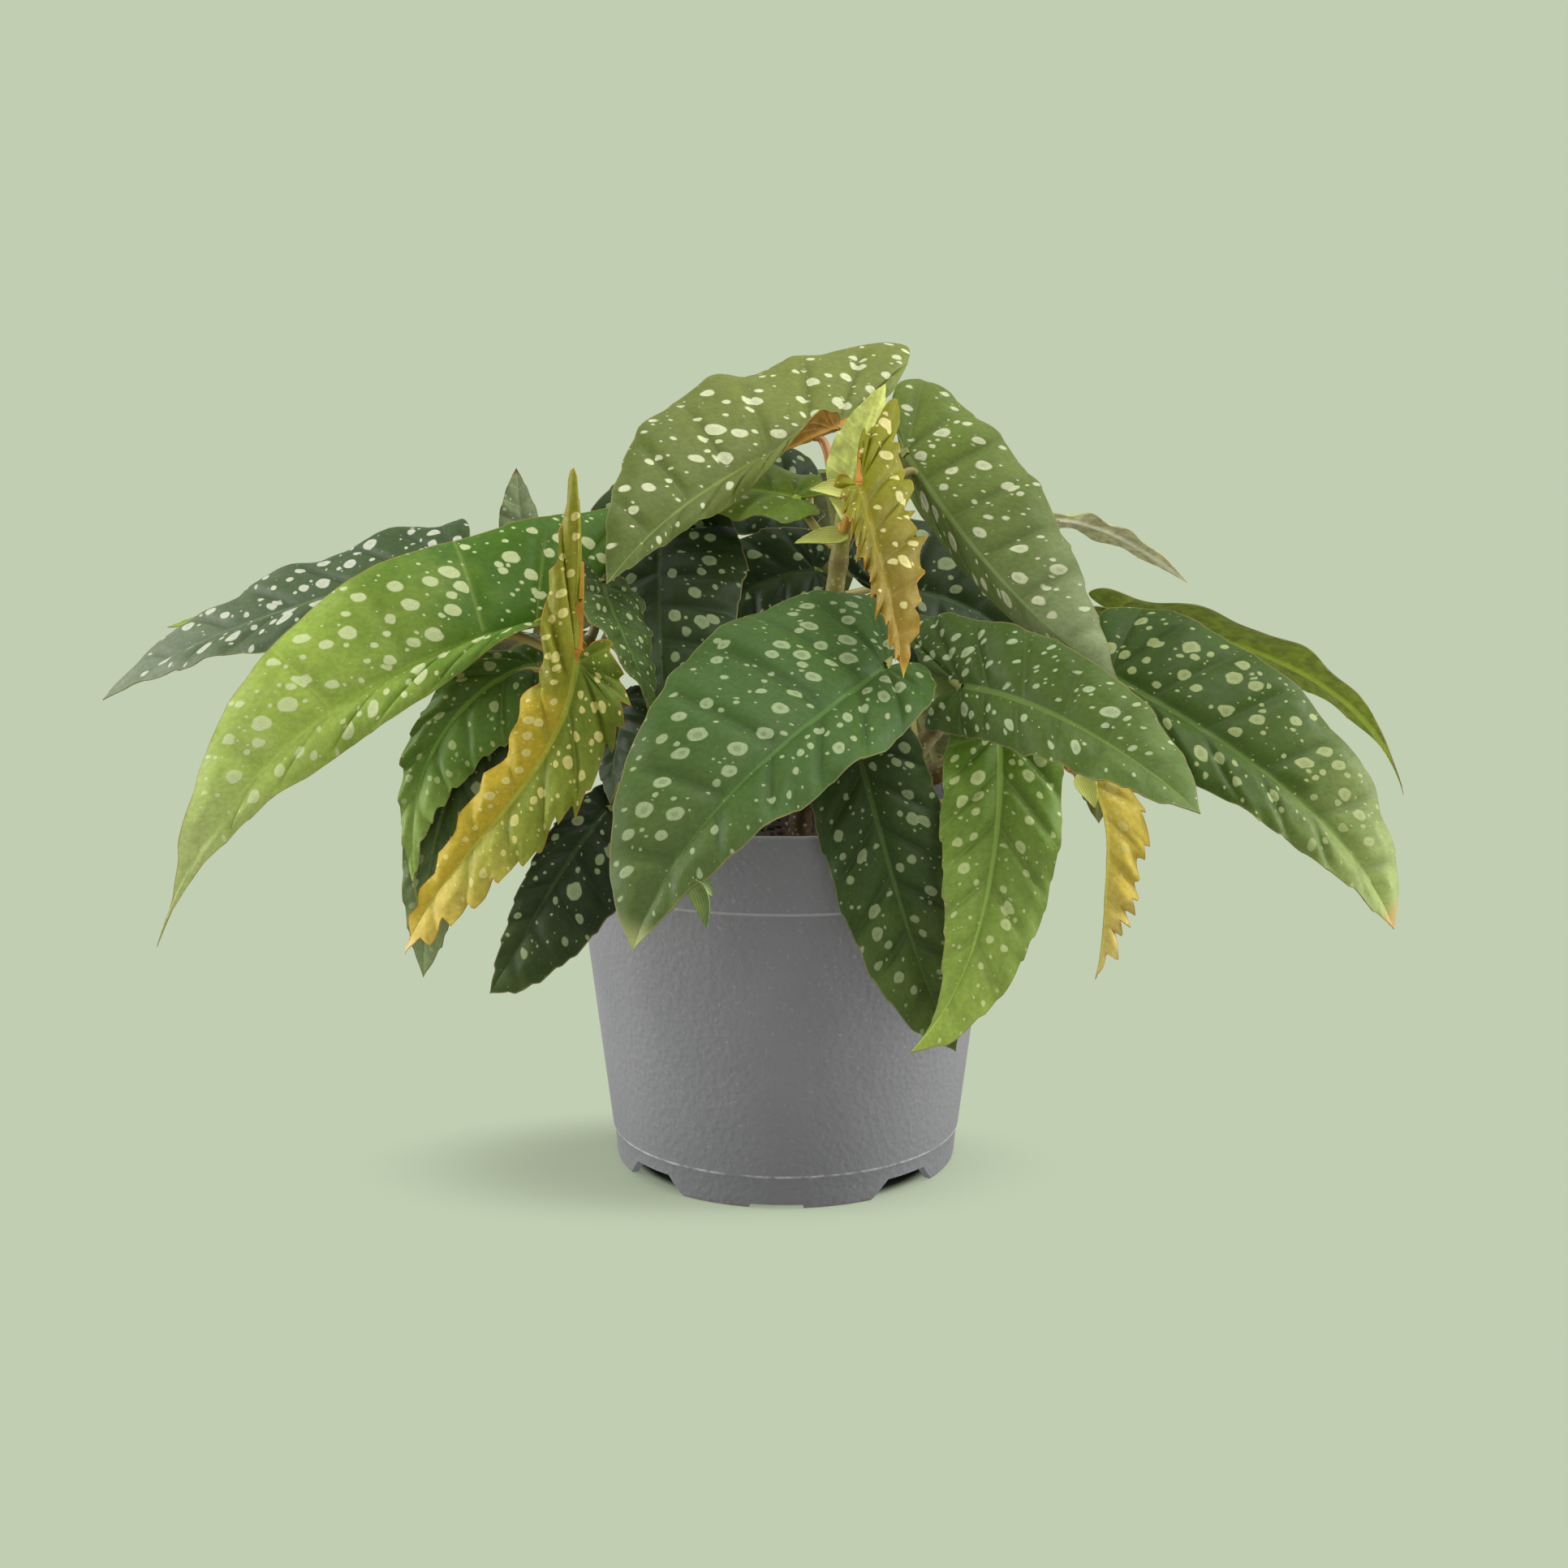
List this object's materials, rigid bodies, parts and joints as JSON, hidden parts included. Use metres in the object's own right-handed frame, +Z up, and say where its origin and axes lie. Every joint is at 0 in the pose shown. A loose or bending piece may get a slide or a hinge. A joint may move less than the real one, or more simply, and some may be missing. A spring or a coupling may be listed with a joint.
{
  "type": "potted begonia",
  "caption": "Spotted angel-wing begonia with arching and hanging leaves on leaning canes, growing in a plain round nursery pot filled with soil.",
  "frame": {"origin": "on the surface the pot stands on, under the middle of the whole plant's outline seen from above; the pot's axis is 16.6 mm to +X and 1.9 mm to -Y of it", "axes": "+Z up, +X to the right seen from the front, -Y towards the front, where the largest leaves hang over the rim"},
  "size_m": [0.3777, 0.2454, 0.2307],
  "materials": {
    "pot_plastic": "matt grey moulded plastic with a fine grain",
    "soil": "dark, crumbly potting soil",
    "cane": "green-brown succulent stem with node rings",
    "leaf_green": "satin leaf with pale spots",
    "leaf_bright": "satin yellow-green leaf with pale spots",
    "leaf_dark": "satin dark green leaf with pale spots",
    "leaf_young": "glossy young yellow-orange leaf",
    "leaf_lime": "unopened lime-green leaf"
  },
  "bodies": {
    "root": {"cane_back": "cane", "cane_centre": "cane", "cane_left": "cane", "cane_left_back": "cane", "cane_right": "cane", "cane_right_back": "cane", "leaf_back_hang_left": "leaf_green", "leaf_back_hang_right": "leaf_green", "leaf_back_lean_left": "leaf_green", "leaf_back_lean_right": "leaf_green", "leaf_back_left": "leaf_dark", "leaf_back_low": "leaf_dark", "leaf_back_right": "leaf_green", "leaf_back_side_left": "leaf_dark", "leaf_back_side_right": "leaf_bright", "leaf_back_top": "leaf_bright", "leaf_bud": "leaf_lime", "leaf_edge": "leaf_dark", "leaf_far_right": "leaf_dark", "leaf_front_centre": "leaf_green", "leaf_front_right": "leaf_green", "leaf_hang_bright": "leaf_bright", "leaf_hang_dark": "leaf_dark", "leaf_hang_left": "leaf_dark", "leaf_inner_back": "leaf_dark", "leaf_inner_dark": "leaf_dark", "leaf_inner_mid": "leaf_dark", "leaf_inner_olive": "leaf_bright", "leaf_inner_right": "leaf_dark", "leaf_left_bright": "leaf_bright", "leaf_low_left": "leaf_dark", "leaf_lower_inner": "leaf_dark", "leaf_right": "leaf_green", "leaf_side_left": "leaf_green", "leaf_side_right": "leaf_green", "leaf_tip_left": "leaf_bright", "leaf_top_left": "leaf_bright", "leaf_top_right": "leaf_green", "leaf_under_left": "leaf_bright", "leaf_upright": "leaf_dark", "leaf_young_centre": "leaf_young", "leaf_young_left": "leaf_young", "leaf_young_right": "leaf_young", "pot": "pot_plastic", "soil": "soil"}
  },
  "joints": []
}
